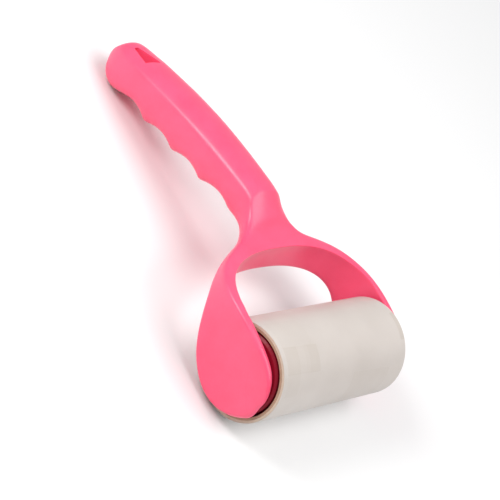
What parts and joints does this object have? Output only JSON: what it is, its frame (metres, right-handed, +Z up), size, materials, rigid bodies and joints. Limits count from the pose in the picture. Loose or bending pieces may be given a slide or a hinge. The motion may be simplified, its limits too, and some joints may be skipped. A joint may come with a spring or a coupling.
{
  "type": "lint roller",
  "caption": "Hand-held lint roller: one-piece plastic handle with finger scallops, hang hole and a two-arm yoke that holds a free-turning roll of adhesive sheets.",
  "frame": {"origin": "on the floor under the middle of the whole object, lying with the roll and the end knob on the floor", "axes": "+X along the roll's axis, +Y from the roll toward the end of the handle, +Z up, toward the thumb side"},
  "size_m": [0.1146, 0.2054, 0.0495],
  "materials": {
    "handle_plastic": "glossy, slightly translucent pink",
    "hub_plastic": "satin, deep pink-red",
    "core_card": "raw grey-brown card",
    "sheet_stack": "matte layered edges",
    "sheet_paper": "tacky satin paper"
  },
  "bodies": {
    "handle": {"handle": "handle_plastic"},
    "roll": {"hub_left": "hub_plastic", "hub_right": "hub_plastic", "core_tube": "core_card", "wound_sheets": "sheet_stack", "outer_sheet": "sheet_paper"}
  },
  "joints": [
    {"name": "roll_spin", "type": "hinge", "parent": "handle", "child": "roll", "pos_m": [-0.0016, -0.07899, 0.02375], "axis": [1, 0, 0], "continuous": true}
  ]
}
